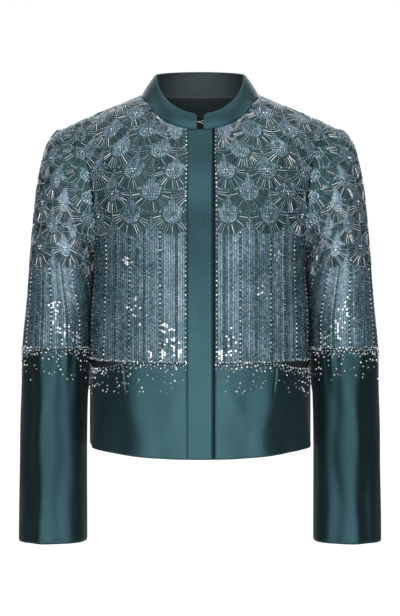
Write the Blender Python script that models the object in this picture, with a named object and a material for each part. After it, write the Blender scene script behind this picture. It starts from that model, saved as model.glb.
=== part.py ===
"""A cropped stand-collar jacket in duchesse satin with a beaded upper part, as the pieces a maker cuts.

The jacket keeps its worn, hollow form. Every panel is a wall of cloth cut from one of three smooth
surfaces: the torso, the sleeve and the collar. Each surface is a table of sections, joined by curves.
"""

import math

import bmesh
import bpy
import numpy as np

# Driving dimensions, in metres. +X is the wearer's left, -Y the front and +Z up. The origin lies in the
# middle of the neck, at the height where the shoulder seams meet the collar.
SEAM_GAP = 0.0003
BEADED_CLOTH = 0.0022
SATIN_CLOTH = 0.0016
PLACKET_CLOTH = 0.0018
COLLAR_CLOTH = 0.0024
FACING_CLOTH = 0.0010

NECK_HALF_WIDTH = 0.0860
NECK_FRONT_DEPTH = 0.0700
NECK_BACK_DEPTH = 0.0500
NECK_FRONT_DROP = 0.0585
NECK_BACK_RISE = 0.0030
SHOULDER_TIP_X = 0.2000
SHOULDER_SLOPE = 0.434
SECTION_POWER = 0.87
NECKLINE_POWER = 1.25

# The level where the cloth turns over the shoulder, by the front and by the back panel: how far it lies
# from the side seam and below the collar, then what is added to both in the middle.
YOKE_HALF_WIDTH = 0.1900
YOKE_SOFTNESS = 0.0200
YOKE_TIP_DROP = 0.0120
YOKE = {
    #         y       z       middle_y  middle_z
    "front": (-0.056, -0.031, -0.036,   -0.073),
    "back":  (0.058,  -0.027, 0.013,    -0.012),
}
SHOULDER_CORNER_SHARE = 0.3

# The torso, from the hem up: heights at the centre front, side and centre back, then half the width
# and the depths in front of and behind the side seam.
BODY_SECTIONS = {
    #            z_front  z_side   z_back   half_width  front_depth  back_depth
    "hem":      (-0.5240, -0.5120, -0.5140, 0.1625,     0.1220,      0.1080),
    "band_seam": (-0.3910, -0.3880, -0.3880, 0.1618,    0.1210,      0.1070),
    "waist":    (-0.3100, -0.3100, -0.3100, 0.1590,     0.1195,      0.1045),
    "underarm": (-0.2350, -0.2350, -0.2350, 0.1545,     0.1165,      0.1050),
    "chest":    (-0.1500, -0.1500, -0.1500, 0.1730,     0.1075,      0.1010),
}
HEM, BAND_SEAM, UNDERARM, TOP = 0, 1, 3, 6
FRONT_ARMHOLE_REACH = math.radians(30)
BACK_ARMHOLE_REACH = math.radians(27)
ARMHOLE_POWER = 0.95

# The left sleeve, from the armhole down: the outer edge, the height of the inner edge and its distance
# from the body's side, half the depth, the centre's place front to back, and how round the section is.
SLEEVE_SECTIONS = {
    #              outer_x  outer_z   inner_z   clearance  half_depth  middle_y  power
    "seam_turn":   (0.2110, -0.0545, -0.2385,  0.0028,    0.0655,     0.003,    0.87),
    "sleeve_head": (0.2206, -0.0660, -0.2445,  0.0030,    0.0670,     0.003,    0.87),
    "upper_cap":   (0.2290, -0.0880, -0.2520,  0.0026,    0.0675,     0.003,    0.88),
    "mid_cap":     (0.2377, -0.1290, -0.2640,  0.0020,    0.0670,     0.003,    0.90),
    "lower_cap":   (0.2460, -0.2026, -0.2880,  0.0014,    0.0655,     0.003,    0.92),
    "biceps":      (0.2536, -0.3010, -0.3320,  0.0011,    0.0620,     0.001,    0.94),
    "band_seam":   (0.2600, -0.3720, -0.3720,  0.0012,    0.0585,    -0.002,    0.95),
    "forearm":     (0.2615, -0.4600, -0.4600,  0.0026,    0.0540,    -0.008,    0.96),
    "hem":         (0.2630, -0.6500, -0.6500,  0.0020,    0.0470,    -0.020,    0.96),
}
SLEEVE_SEAM_RING = 7
SLEEVE_HEM_RING = 9

PLACKET_SEAM_X = -0.0184
PLACKET_EDGE_X = 0.0170
LEFT_FRONT_EDGE_X = 0.0210
UNDERLAP_X = (-0.0140, 0.0250)
POCKET_SAG = 0.0100
POCKET_START_COLUMN = 2
POCKET_SLANT = 1.3
POCKET_POWER = 0.7
POCKET_FACING_LEVELS = (0.72, 1.20)
FACING_ROWS = 5

COLLAR_GAP = 0.0096
COLLAR_TOP_HALF_WIDTH = 0.0650
COLLAR_TOP_FRONT_DEPTH = 0.0620
COLLAR_TOP_BACK_DEPTH = 0.0430
COLLAR_TOP_FRONT_Z = -0.0345
COLLAR_TOP_SIDE_Z = 0.0310
COLLAR_TOP_BACK_Z = 0.0410
COLLAR_TOP_POWER = 1.12
COLLAR_BOW = 0.0012
COLLAR_CORNER_RADIUS = 0.0060
COLLAR_FRONT_RADIUS = 0.0850

WIRE_RADIUS = 0.00045
HOOK_HEIGHT = 0.69
HOOK_LENGTH = 0.0115
EYE_HALF_WIDTH = 0.0020
EYE_NOSE_X = 0.0006
EYE_RETURN_SHARE = 0.75

# How finely the cloth is faceted.
NECK_COLUMNS = 6
SHOULDER_COLUMNS = 8
BACK_NECK_COLUMNS = 6
BACK_SHOULDER_COLUMNS = 7
ARMHOLE_ROWS = 11
WAIST_ROWS = 4
BAND_ROWS = 3
SLEEVE_BAND_ROWS = 4
COLLAR_ROWS = 2
ANGLE_STEP = math.radians(0.5)
LEVEL_STEP = 0.02

QUARTER = math.pi / 2
NECK_ANGLE = math.asin((NECK_HALF_WIDTH / SHOULDER_TIP_X) ** (1 / SECTION_POWER))

# Colour, roughness and metallic value of each material.
FINISHES = {
    "beaded_satin": ((0.115, 0.200, 0.245, 1.0), 0.38, 0.0),
    "teal_satin": ((0.040, 0.125, 0.145, 1.0), 0.35, 0.0),
    "dark_facing": ((0.012, 0.030, 0.032, 1.0), 0.60, 0.0),
    "steel_wire": ((0.55, 0.56, 0.58, 1.0), 0.25, 1.0),
}


def clear_scene():
    for old in list(bpy.data.objects):
        bpy.data.objects.remove(old, do_unlink=True)


def material(name):
    colour, roughness, metallic = FINISHES[name]
    made = bpy.data.materials.new(name)
    made.use_nodes = True
    shader = made.node_tree.nodes["Principled BSDF"]
    shader.inputs["Base Color"].default_value = colour
    shader.inputs["Roughness"].default_value = roughness
    shader.inputs["Metallic"].default_value = metallic
    made.diffuse_color = colour
    return made


def unit(vectors):
    return vectors / np.linalg.norm(vectors, axis=-1, keepdims=True)


def signed_power(values, power):
    return np.sign(values) * np.abs(values) ** power


def smooth_step(values):
    t = np.clip(values, 0.0, 1.0)
    return t * t * (3 - 2 * t)


def stack(x, y, z):
    return np.stack(np.broadcast_arrays(x, y, z), axis=-1)


def through(rings, level, end_direction=None):
    """The point at a level on the smooth curve that joins like points of the rings, ring 0 at level 0."""
    spans = rings[1:] - rings[:-1]
    lengths = np.linalg.norm(spans, axis=-1, keepdims=True)
    slopes = spans / lengths
    inner = (slopes[:-1] * lengths[1:] + slopes[1:] * lengths[:-1]) / (lengths[1:] + lengths[:-1])
    last = slopes[-1] if end_direction is None else end_direction
    tangents = np.concatenate([slopes[:1], inner, last[None]])
    start = np.clip(np.floor(level).astype(int), 0, len(rings) - 2)
    t = (level - start)[..., None]

    def pick(values, index):
        return np.take_along_axis(values, index[None, ..., None], axis=0)[0]

    length = pick(lengths, start)
    return (
        pick(rings, start) * (2 * t**3 - 3 * t**2 + 1)
        + pick(tangents, start) * length * (t**3 - 2 * t**2 + t)
        + pick(rings, start + 1) * (3 * t**2 - 2 * t**3)
        + pick(tangents, start + 1) * length * (t**3 - t**2)
    )


def body_ring(angle, section):
    """One level of the torso. The angle turns from 0 at the centre front, past the left side, to the back."""
    z_front, z_side, z_back, half_width, front_depth, back_depth = section
    in_front = np.cos(angle) >= 0
    across = signed_power(np.sin(angle), SECTION_POWER)
    along = signed_power(np.cos(angle), SECTION_POWER)
    depth = np.where(in_front, front_depth, back_depth)
    middle_z = np.where(in_front, z_front, z_back)
    return stack(half_width * across, -depth * along, z_side + (middle_z - z_side) * along**2)


def neck_turn(angle):
    """How far round a quarter of the neckline an angle lies, from the centre to the shoulder, in radians."""
    return np.clip(np.arcsin(np.abs(np.sin(angle))) / NECK_ANGLE, 0.0, 1.0) * QUARTER


def shoulder_share(angle):
    """How far out along the shoulder seam an angle lies, from the collar at 0 to the tip at 1."""
    fold = np.arcsin(np.abs(np.sin(angle)))
    return np.clip((fold - NECK_ANGLE) / (QUARTER - NECK_ANGLE), 0.0, 1.0)


def top_ring(angle):
    """The neckline in front and at the back, and the shoulder seams where both meet."""
    in_front = np.cos(angle) >= 0
    turn = neck_turn(angle)
    on_neck = turn < QUARTER - 1e-9
    across = np.abs(signed_power(np.sin(angle), SECTION_POWER))
    x = np.where(on_neck, NECK_HALF_WIDTH * np.sin(turn), SHOULDER_TIP_X * across)
    y = np.where(in_front, -NECK_FRONT_DEPTH, NECK_BACK_DEPTH) * np.cos(turn)
    drop = np.where(in_front, -NECK_FRONT_DROP, NECK_BACK_RISE) * np.cos(turn) ** NECKLINE_POWER
    z = np.where(on_neck, drop, -SHOULDER_SLOPE * (x - NECK_HALF_WIDTH))
    return stack(np.sign(np.sin(angle)) * x, np.where(on_neck, y, 0.0), z)


def soft_ramp(values, width):
    """Zero below nought and the value itself above it, with a bend of this width between them."""
    return width * np.log1p(np.exp(values / width))


def yoke_ring(angle):
    """The level just below the neckline and the shoulder seams, where the cloth turns over the shoulder."""
    in_front = (np.cos(angle) >= 0)[..., None]
    y, z, middle_y, middle_z = np.moveaxis(np.where(in_front, YOKE["front"], YOKE["back"]), -1, 0)
    x = YOKE_HALF_WIDTH * np.abs(signed_power(np.sin(angle), SECTION_POWER))
    to_middle = np.cos(neck_turn(angle)) ** 2
    out = shoulder_share(angle)
    sloping = SHOULDER_SLOPE * soft_ramp(x - NECK_HALF_WIDTH, YOKE_SOFTNESS) + YOKE_TIP_DROP * out**2
    y = y * np.sqrt(1 - out**3) + middle_y * to_middle
    return stack(np.sign(np.sin(angle)) * x, y, z + middle_z * to_middle - sloping)


def torso(angle, level):
    """The outer face of the body's cloth, from the hem at level 0 to the neck and shoulders at level 6."""
    angle, level = np.broadcast_arrays(np.asarray(angle, float), np.asarray(level, float))
    rings = [body_ring(angle, section) for section in BODY_SECTIONS.values()]
    rings += [yoke_ring(angle), top_ring(angle)]
    over = unit(yoke_ring(math.pi - angle) - yoke_ring(angle) + 1e-12)
    at_corner = smooth_step(neck_turn(angle) / QUARTER) + smooth_step(shoulder_share(angle) / SHOULDER_CORNER_SHARE)
    weight = at_corner[..., None] / 2
    arrival = unit((1 - weight) * unit(rings[-1] - rings[-2]) + weight * over)
    return through(np.array(rings), level, arrival)


def torso_normal(angle, level):
    """The way out of the cloth. It is read a little inside the side seam, the tip and the neck's corner."""
    angle, level = np.broadcast_arrays(np.asarray(angle, float), np.asarray(level, float))
    fold = np.arcsin(np.abs(np.sin(angle)))
    at_top = np.clip((level - UNDERARM) / (TOP - UNDERARM), 0.0, 1.0)
    inside = np.minimum(fold, QUARTER - (2 + 8 * at_top**2) * ANGLE_STEP)
    at_corner = (np.abs(inside - NECK_ANGLE) < ANGLE_STEP) & (level > TOP - LEVEL_STEP)
    inside = np.where(at_corner, NECK_ANGLE + 2 * ANGLE_STEP, inside)
    turning = np.where(np.cos(angle) >= -1e-9, 1.0, -1.0) * np.where(np.sin(angle) >= 0, 1.0, -1.0)
    angle = angle + turning * (inside - fold)
    near = np.clip(level, LEVEL_STEP, TOP - LEVEL_STEP)
    around = torso(angle + ANGLE_STEP, near) - torso(angle - ANGLE_STEP, near)
    upward = torso(angle, near + LEVEL_STEP) - torso(angle, near - LEVEL_STEP)
    normal = np.cross(around, upward)
    on_shoulder_seam = (level > TOP - LEVEL_STEP) & (inside > NECK_ANGLE)
    normal[..., 1] = np.where(on_shoulder_seam, 0.0, normal[..., 1])
    return unit(normal)


def armhole_level(turn):
    """The torso level at a turn round the armhole, 0 at the shoulder tip and pi under the arm."""
    return UNDERARM + (TOP - UNDERARM) * (1 + np.cos(turn)) / 2


def armhole_angle(level, back=False):
    """The torso angle where the front or the back panel ends at a level, at the side seam or armhole."""
    share = np.clip((level - UNDERARM) / (TOP - UNDERARM), 0.0, 1.0)
    reach = (2 * np.sqrt(share * (1 - share))) ** ARMHOLE_POWER
    return QUARTER + (BACK_ARMHOLE_REACH if back else -FRONT_ARMHOLE_REACH) * reach


def angle_at_x(x, level):
    """The torso angle, near the centre front, of points at this distance from the middle."""
    low, high = np.zeros_like(level), np.full_like(level, QUARTER / 2)
    for _ in range(40):
        middle = (low + high) / 2
        short = torso(middle, level)[..., 0] < abs(x)
        low, high = np.where(short, middle, low), np.where(short, high, middle)
    return math.copysign(1, x) * (low + high) / 2


def side_half_width(z):
    """Half the body's width at the side seam at a height."""
    levels = np.linspace(HEM, UNDERARM, 40)
    side = torso(np.full_like(levels, QUARTER), levels)
    return np.interp(z, side[:, 2], side[:, 0])


def sleeve_ring(turn, section):
    outer_x, outer_z, inner_z, clearance, half_depth, middle_y, power = section
    inner_x = side_half_width(inner_z) + clearance
    out, forward = signed_power(np.cos(turn), power), signed_power(np.sin(turn), power)
    x = (outer_x + inner_x) / 2 + out * (outer_x - inner_x) / 2
    z = (outer_z + inner_z) / 2 + out * (outer_z - inner_z) / 2
    return stack(x, middle_y - half_depth * forward, z)


def armhole_ring(turn):
    level = armhole_level(turn)
    front, back = armhole_angle(level), armhole_angle(level, back=True)
    return torso(np.where(np.sin(turn) >= 0, front, back), level)


def sleeve(turn, ring):
    """The outer face of the left sleeve. The turn goes from the outer edge past the front to the inner."""
    turn, ring = np.broadcast_arrays(np.asarray(turn, float), np.asarray(ring, float))
    rings = [armhole_ring(turn)]
    rings += [sleeve_ring(turn, section) for section in SLEEVE_SECTIONS.values()]
    return through(np.array(rings), ring)


def sleeve_normal(turn, ring):
    ring = np.clip(ring, LEVEL_STEP, SLEEVE_HEM_RING - LEVEL_STEP)
    around = sleeve(turn + ANGLE_STEP, ring) - sleeve(turn - ANGLE_STEP, ring)
    downward = sleeve(turn, ring + LEVEL_STEP) - sleeve(turn, ring - LEVEL_STEP)
    return unit(np.cross(around, downward))


def collar(turn, height):
    """The outer face of the stand collar. The turn goes from 0 at the centre front to pi at the back."""
    turn, height = np.broadcast_arrays(np.asarray(turn, float), np.asarray(height, float))
    in_front = np.cos(turn) >= 0
    fold = np.arcsin(np.abs(np.sin(turn))) / QUARTER * NECK_ANGLE
    base = top_ring(np.sign(np.sin(turn)) * np.where(in_front, fold, math.pi - fold))
    lean = 1 - COLLAR_TOP_HALF_WIDTH / NECK_HALF_WIDTH
    front_shift = np.where(in_front, COLLAR_GAP / 2 * lean * np.cos(turn) ** 2, 0.0)
    x = COLLAR_TOP_HALF_WIDTH * np.sin(turn) + np.sign(np.sin(turn)) * front_shift
    y = -np.where(in_front, COLLAR_TOP_FRONT_DEPTH, COLLAR_TOP_BACK_DEPTH) * np.cos(turn)
    middle_z = np.where(in_front, COLLAR_TOP_FRONT_Z, COLLAR_TOP_BACK_Z)
    z = COLLAR_TOP_SIDE_Z + (middle_z - COLLAR_TOP_SIDE_Z) * np.abs(np.cos(turn)) ** COLLAR_TOP_POWER
    to_end = np.clip(np.abs(x) - COLLAR_GAP / 2, 0.0, COLLAR_CORNER_RADIUS)
    rounding = COLLAR_CORNER_RADIUS - np.sqrt(
        COLLAR_CORNER_RADIUS**2 - (COLLAR_CORNER_RADIUS - to_end) ** 2
    )
    top = stack(x, y, z)
    shorter = np.where(in_front, rounding, 0.0)[..., None] / np.linalg.norm(top - base, axis=-1, keepdims=True)
    share = height[..., None] * (1 - shorter)
    bow = COLLAR_BOW * 4 * share * (1 - share)
    return base + (top - base) * share + bow * unit(stack(x, y, 0 * x))


def collar_normal(turn, height):
    height = np.clip(height, LEVEL_STEP, 1 - LEVEL_STEP)
    around = collar(turn + ANGLE_STEP, height) - collar(turn - ANGLE_STEP, height)
    upward = collar(turn, height + LEVEL_STEP) - collar(turn, height - LEVEL_STEP)
    return unit(np.cross(around, upward))


def drawn_in(points, columns=True):
    """The grid with its edges moved in by half the seam gap. A tube has no edges at its first and last columns."""
    made = points.copy()
    half = SEAM_GAP / 2
    made[0] += half * unit(points[1] - points[0])
    made[-1] += half * unit(points[-2] - points[-1])
    if columns:
        made[:, 0] += half * unit(points[:, 1] - points[:, 0])
        made[:, -1] += half * unit(points[:, -2] - points[:, -1])
    return made


def wall(name, outer, normals, thickness, finish, tube=False):
    """A closed wall of cloth between a grid of outer points and the same grid moved in by its thickness.

    Each quad is split on its shorter diagonal, and both faces of the wall share that split.
    """
    rows, columns = outer.shape[:2]
    count = rows * columns
    index = np.arange(count).reshape(rows, columns)
    if tube:
        index = np.concatenate([index, index[:, :1]], axis=1)
    quads = np.stack([index[:-1, :-1], index[:-1, 1:], index[1:, 1:], index[1:, :-1]], axis=-1).reshape(-1, 4)
    corners = outer.reshape(-1, 3)[quads]
    diagonals = np.linalg.norm(corners[:, :2] - corners[:, 2:], axis=2)
    quads = np.where(diagonals[:, 1:] < diagonals[:, :1], np.roll(quads, -1, axis=1), quads)
    triangles = np.concatenate([quads[:, [0, 1, 2]], quads[:, [0, 2, 3]]])
    if tube:
        loops = [index[0], index[-1][::-1]]
    else:
        loops = [np.concatenate([index[0], index[1:, -1], index[-1, -2::-1], index[-2::-1, 0]])]
    rims = [np.stack([loop[:-1], loop[1:], loop[1:] + count, loop[:-1] + count], axis=-1) for loop in loops]
    faces = [*triangles.tolist(), *(triangles[:, ::-1] + count).tolist(), *np.concatenate(rims).tolist()]
    points = np.concatenate([outer.reshape(-1, 3), (outer - thickness * normals).reshape(-1, 3)])
    mesh = bpy.data.meshes.new(name)
    mesh.from_pydata(points.tolist(), [], faces)
    shape = bmesh.new()
    shape.from_mesh(mesh)
    bmesh.ops.recalc_face_normals(shape, faces=shape.faces)
    shape.to_mesh(mesh)
    shape.free()
    mesh.shade_smooth()
    mesh.set_sharp_from_angle(angle=math.radians(40))
    mesh.materials.append(MATERIALS[finish])
    made = bpy.data.objects.new(name, mesh)
    bpy.context.scene.collection.objects.link(made)
    return made


def mirrored(vectors, side):
    return vectors * np.array([side, 1.0, 1.0])


def row_levels():
    """The rows that every body panel shares, from the hem to the neck."""
    band = np.linspace(HEM, BAND_SEAM, BAND_ROWS + 1)
    waist = np.linspace(BAND_SEAM, UNDERARM, WAIST_ROWS + 1)
    armhole = armhole_level(np.linspace(math.pi, 0, ARMHOLE_ROWS + 1))
    return band, np.concatenate([waist, armhole[1:]])


def front_angles(levels, edge_x):
    """The columns of a front panel: to the shoulder point at the neck, then to the side or armhole."""
    inner, outer = angle_at_x(edge_x, levels), armhole_angle(levels)
    neck = np.linspace(0, 1, NECK_COLUMNS + 1)[:-1]
    shoulder = np.linspace(0, 1, SHOULDER_COLUMNS + 1)
    return np.concatenate(
        [
            inner[:, None] + (NECK_ANGLE - inner)[:, None] * neck,
            NECK_ANGLE + (outer - NECK_ANGLE)[:, None] * shoulder,
        ],
        axis=1,
    )


def pocket_sag(angles):
    """How far the band's top edge hangs open below the seam along the pocket, which ends at the side."""
    start = NECK_ANGLE + (QUARTER - NECK_ANGLE) * POCKET_START_COLUMN / SHOULDER_COLUMNS
    share = np.clip((angles - start) / (QUARTER - start), 0.0, 1.0)
    return POCKET_SAG * np.sin(math.pi * share**POCKET_SLANT) ** POCKET_POWER


def front_panels(band, upper):
    for word, side, edge_x in (("right", -1, -PLACKET_SEAM_X), ("left", 1, LEFT_FRONT_EDGE_X)):
        angles, levels = front_angles(upper, edge_x), upper[:, None]
        points, normals = torso(angles, levels), torso_normal(angles, levels)
        wall(f"front_{word}_upper", mirrored(drawn_in(points), side), mirrored(normals, side),
             BEADED_CLOTH, "beaded_satin")

        angles = front_angles(band, edge_x)
        band_height = BODY_SECTIONS["band_seam"][1] - BODY_SECTIONS["hem"][1]
        levels = band[:, None] * (1 - pocket_sag(angles) / band_height)
        points, normals = torso(angles, levels), torso_normal(angles, levels)
        wall(f"front_{word}_band", mirrored(drawn_in(points), side), mirrored(normals, side),
             SATIN_CLOTH, "teal_satin")

        angles = angles[:1, NECK_COLUMNS + POCKET_START_COLUMN - 1 : -1]
        levels = np.linspace(*POCKET_FACING_LEVELS, 3)[:, None]
        points, normals = torso(angles, levels), torso_normal(angles, levels)
        behind = points - (BEADED_CLOTH + SEAM_GAP) * normals
        wall(f"pocket_{word}", mirrored(behind, side), mirrored(normals, side), FACING_CLOTH, "dark_facing")


def back_angles(levels):
    """The columns of the back, from the right side or armhole, round the neck, to the left."""
    outer = armhole_angle(levels, back=True)[:, None]
    edge = math.pi - NECK_ANGLE
    shoulder = np.linspace(0, 1, BACK_SHOULDER_COLUMNS + 1)
    left = outer + (edge - outer) * shoulder
    neck = np.linspace(edge, 2 * math.pi - edge, 2 * BACK_NECK_COLUMNS + 1)
    middle = np.broadcast_to(neck[1:-1], (len(levels), len(neck) - 2))
    return np.concatenate([left, middle, 2 * math.pi - left[:, ::-1]], axis=1)


def back_panels(band, upper):
    angles, levels = back_angles(upper), upper[:, None]
    points, normals = torso(angles, levels), torso_normal(angles, levels)
    wall("back_upper", drawn_in(points), normals, BEADED_CLOTH, "beaded_satin")

    inside = drawn_in(points)[-FACING_ROWS - 1 :, BACK_SHOULDER_COLUMNS + 1 : -BACK_SHOULDER_COLUMNS - 1]
    out = normals[-FACING_ROWS - 1 :, BACK_SHOULDER_COLUMNS + 1 : -BACK_SHOULDER_COLUMNS - 1]
    wall("back_neck_facing", inside - (BEADED_CLOTH + SEAM_GAP) * out, out, FACING_CLOTH, "dark_facing")

    angles, levels = back_angles(band), band[:, None]
    points, normals = torso(angles, levels), torso_normal(angles, levels)
    wall("back_band", drawn_in(points), normals, SATIN_CLOTH, "teal_satin")


def closing_strips(band, upper):
    """The placket on the right front, and the underlap that the left front carries below it."""
    levels = np.concatenate([band, upper[1:]])
    for name, edges, below, cloth in (
        ("front_placket", (PLACKET_SEAM_X, PLACKET_EDGE_X), 0.0, PLACKET_CLOTH),
        ("front_underlap", UNDERLAP_X, BEADED_CLOTH + SEAM_GAP, SATIN_CLOTH),
    ):
        angles = np.stack([angle_at_x(x, levels) for x in np.linspace(*edges, 4)], axis=1)
        points, normals = torso(angles, levels[:, None]), torso_normal(angles, levels[:, None])
        wall(name, drawn_in(points - below * normals), normals, cloth, "teal_satin")


def sleeves():
    turns = np.linspace(0, 2 * math.pi, 2 * ARMHOLE_ROWS + 1)[:-1]
    parts = (
        ("upper", np.concatenate([[0, 0.5], np.arange(1.0, SLEEVE_SEAM_RING + 1)]), BEADED_CLOTH, "beaded_satin"),
        ("lower", np.linspace(SLEEVE_SEAM_RING, SLEEVE_HEM_RING, SLEEVE_BAND_ROWS + 1), SATIN_CLOTH, "teal_satin"),
    )
    for word, side in (("right", -1), ("left", 1)):
        for part, rings, cloth, finish in parts:
            points = sleeve(turns, rings[:, None])
            normals = sleeve_normal(turns, rings[:, None])
            wall(f"sleeve_{word}_{part}", mirrored(drawn_in(points, columns=False), side),
                 mirrored(normals, side), cloth, finish, tube=True)


def stand_collar():
    """One band from the right end, round the back, to the left end."""
    end = math.asin(COLLAR_GAP / 2 / NECK_HALF_WIDTH)
    placket = math.asin(-PLACKET_SEAM_X / NECK_HALF_WIDTH)
    front = np.concatenate(
        [np.linspace(end, placket, 4)[:-1], np.linspace(placket, QUARTER, NECK_COLUMNS + 1)]
    )
    back = np.linspace(QUARTER, 3 * QUARTER, 2 * BACK_NECK_COLUMNS + 1)[1:-1]
    turns = np.concatenate([front, back, 2 * math.pi - front[::-1]])
    heights = np.linspace(0, 1, COLLAR_ROWS + 1)[:, None]
    points, normals = collar(turns, heights), collar_normal(turns, heights)
    wall("stand_collar", drawn_in(points, columns=False), normals, COLLAR_CLOTH, "teal_satin")


def wire(name, path):
    """A bent steel wire along a path of points."""
    curve = bpy.data.curves.new(name, "CURVE")
    curve.dimensions = "3D"
    curve.bevel_depth = WIRE_RADIUS
    curve.bevel_resolution = 2
    curve.use_fill_caps = True
    line = curve.splines.new("POLY")
    line.points.add(len(path) - 1)
    for point, place in zip(line.points, path):
        point.co = (*place, 1.0)
    curve.materials.append(MATERIALS["steel_wire"])
    made = bpy.data.objects.new(name, curve)
    bpy.context.scene.collection.objects.link(made)
    return made


def hook_and_eye():
    """A hook behind the right collar end, caught round the nose of an eye behind the left end."""
    end = math.asin(COLLAR_GAP / 2 / NECK_HALF_WIDTH)
    seat = collar(end, HOOK_HEIGHT) * np.array([0.0, 1.0, 1.0])
    inward = -collar_normal(end, HOOK_HEIGHT) * np.array([0.0, 1.0, 1.0])
    inward = unit(inward)
    upward = np.array([0.0, -inward[2], inward[1]])

    def at(across, depth, up=0.0):
        bow = across**2 / (2 * COLLAR_FRONT_RADIUS)
        return seat + np.array([across, 0.0, 0.0]) + (depth + bow) * inward + up * upward

    shank = COLLAR_CLOTH + SEAM_GAP + WIRE_RADIUS
    bend = 2 * WIRE_RADIUS + SEAM_GAP
    turns = np.linspace(-QUARTER, QUARTER, 9)
    hook = [at(-HOOK_LENGTH, shank), at(-COLLAR_GAP / 2, shank)]
    hook += [at(EYE_NOSE_X + bend * math.cos(t), shank + bend + bend * math.sin(t)) for t in turns]
    hook += [at(EYE_NOSE_X - 2 * bend, shank + 2 * bend)]
    wire("collar_hook", hook)

    centre = EYE_NOSE_X + EYE_HALF_WIDTH
    turns = np.linspace(QUARTER, 3 * QUARTER, 9)
    nose = [at(centre + EYE_HALF_WIDTH * math.cos(t), shank + bend, EYE_HALF_WIDTH * math.sin(t)) for t in turns]
    ends = (HOOK_LENGTH, HOOK_LENGTH * EYE_RETURN_SHARE)
    upper_leg = [at(across, shank, EYE_HALF_WIDTH) for across in ends]
    lower_leg = [at(across, shank, -EYE_HALF_WIDTH) for across in reversed(ends)]
    wire("collar_eye", [*upper_leg, *nose, *lower_leg])


clear_scene()
MATERIALS = {name: material(name) for name in FINISHES}
band_levels, upper_levels = row_levels()
front_panels(band_levels, upper_levels)
back_panels(band_levels, upper_levels)
closing_strips(band_levels, upper_levels)
sleeves()
stand_collar()
hook_and_eye()
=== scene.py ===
"""The finish of a cropped evening jacket: satin with its folds, and beadwork sewn on cloth charts.

Each panel is a thin shell worked out on a fine grid from the same three surfaces as its solid. Sequins, bugle
beads and crystals are laid out in millimetres on a chart of the cloth and then carried onto it.
"""

import math

import bpy
import numpy as np
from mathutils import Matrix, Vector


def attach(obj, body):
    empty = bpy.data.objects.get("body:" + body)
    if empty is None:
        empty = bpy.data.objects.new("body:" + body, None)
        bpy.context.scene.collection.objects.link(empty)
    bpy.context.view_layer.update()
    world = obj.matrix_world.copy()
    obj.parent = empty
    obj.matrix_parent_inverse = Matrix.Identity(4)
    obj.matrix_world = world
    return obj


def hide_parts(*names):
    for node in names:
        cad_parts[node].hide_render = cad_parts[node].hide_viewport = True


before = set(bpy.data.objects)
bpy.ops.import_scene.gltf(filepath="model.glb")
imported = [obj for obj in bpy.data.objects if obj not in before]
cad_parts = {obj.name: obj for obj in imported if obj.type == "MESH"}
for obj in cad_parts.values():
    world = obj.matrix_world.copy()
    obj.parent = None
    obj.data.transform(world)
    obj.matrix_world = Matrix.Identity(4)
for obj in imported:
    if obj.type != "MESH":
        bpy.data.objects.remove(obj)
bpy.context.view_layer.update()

# The jacket's measures, in metres, as in its solids.
SEAM_GAP = 0.0003
OPEN_SEAM = 0.00004
BEADED_CLOTH = 0.0022
SATIN_CLOTH = 0.0016
PLACKET_CLOTH = 0.0018
COLLAR_CLOTH = 0.0024
FACING_CLOTH = 0.0010
NECK_HALF_WIDTH = 0.0860
NECK_FRONT_DEPTH = 0.0700
NECK_BACK_DEPTH = 0.0500
NECK_FRONT_DROP = 0.0585
NECK_BACK_RISE = 0.0030
SHOULDER_TIP_X = 0.2000
SHOULDER_SLOPE = 0.434
SECTION_POWER = 0.87
NECKLINE_POWER = 1.25
YOKE_HALF_WIDTH = 0.1900
YOKE_SOFTNESS = 0.0200
YOKE_TIP_DROP = 0.0120
YOKE = {
    #         y       z       middle_y  middle_z
    "front": (-0.056, -0.031, -0.036,   -0.073),
    "back":  (0.058,  -0.027, 0.013,    -0.012),
}
SHOULDER_CORNER_SHARE = 0.3
BODY_SECTIONS = {
    #            z_front  z_side   z_back   half_width  front_depth  back_depth
    "hem":      (-0.5240, -0.5120, -0.5140, 0.1625,     0.1220,      0.1080),
    "band_seam": (-0.3910, -0.3880, -0.3880, 0.1618,    0.1210,      0.1070),
    "waist":    (-0.3100, -0.3100, -0.3100, 0.1590,     0.1195,      0.1045),
    "underarm": (-0.2350, -0.2350, -0.2350, 0.1545,     0.1165,      0.1050),
    "chest":    (-0.1500, -0.1500, -0.1500, 0.1730,     0.1075,      0.1010),
}
HEM, BAND_SEAM, UNDERARM, TOP = 0, 1, 3, 6
FRONT_ARMHOLE_REACH = math.radians(30)
BACK_ARMHOLE_REACH = math.radians(27)
ARMHOLE_POWER = 0.95
SLEEVE_SECTIONS = {
    #              outer_x  outer_z   inner_z   clearance  half_depth  middle_y  power
    "seam_turn":   (0.2110, -0.0545, -0.2385,  0.0028,    0.0655,     0.003,    0.87),
    "sleeve_head": (0.2206, -0.0660, -0.2445,  0.0030,    0.0670,     0.003,    0.87),
    "upper_cap":   (0.2290, -0.0880, -0.2520,  0.0026,    0.0675,     0.003,    0.88),
    "mid_cap":     (0.2377, -0.1290, -0.2640,  0.0020,    0.0670,     0.003,    0.90),
    "lower_cap":   (0.2460, -0.2026, -0.2880,  0.0014,    0.0655,     0.003,    0.92),
    "biceps":      (0.2536, -0.3010, -0.3320,  0.0011,    0.0620,     0.001,    0.94),
    "band_seam":   (0.2600, -0.3720, -0.3720,  0.0012,    0.0585,    -0.002,    0.95),
    "forearm":     (0.2615, -0.4600, -0.4600,  0.0026,    0.0540,    -0.008,    0.96),
    "hem":         (0.2630, -0.6500, -0.6500,  0.0020,    0.0470,    -0.020,    0.96),
}
SLEEVE_SEAM_RING = 7
SLEEVE_HEM_RING = 9
PLACKET_X = (-0.0184, 0.0170)
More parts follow.
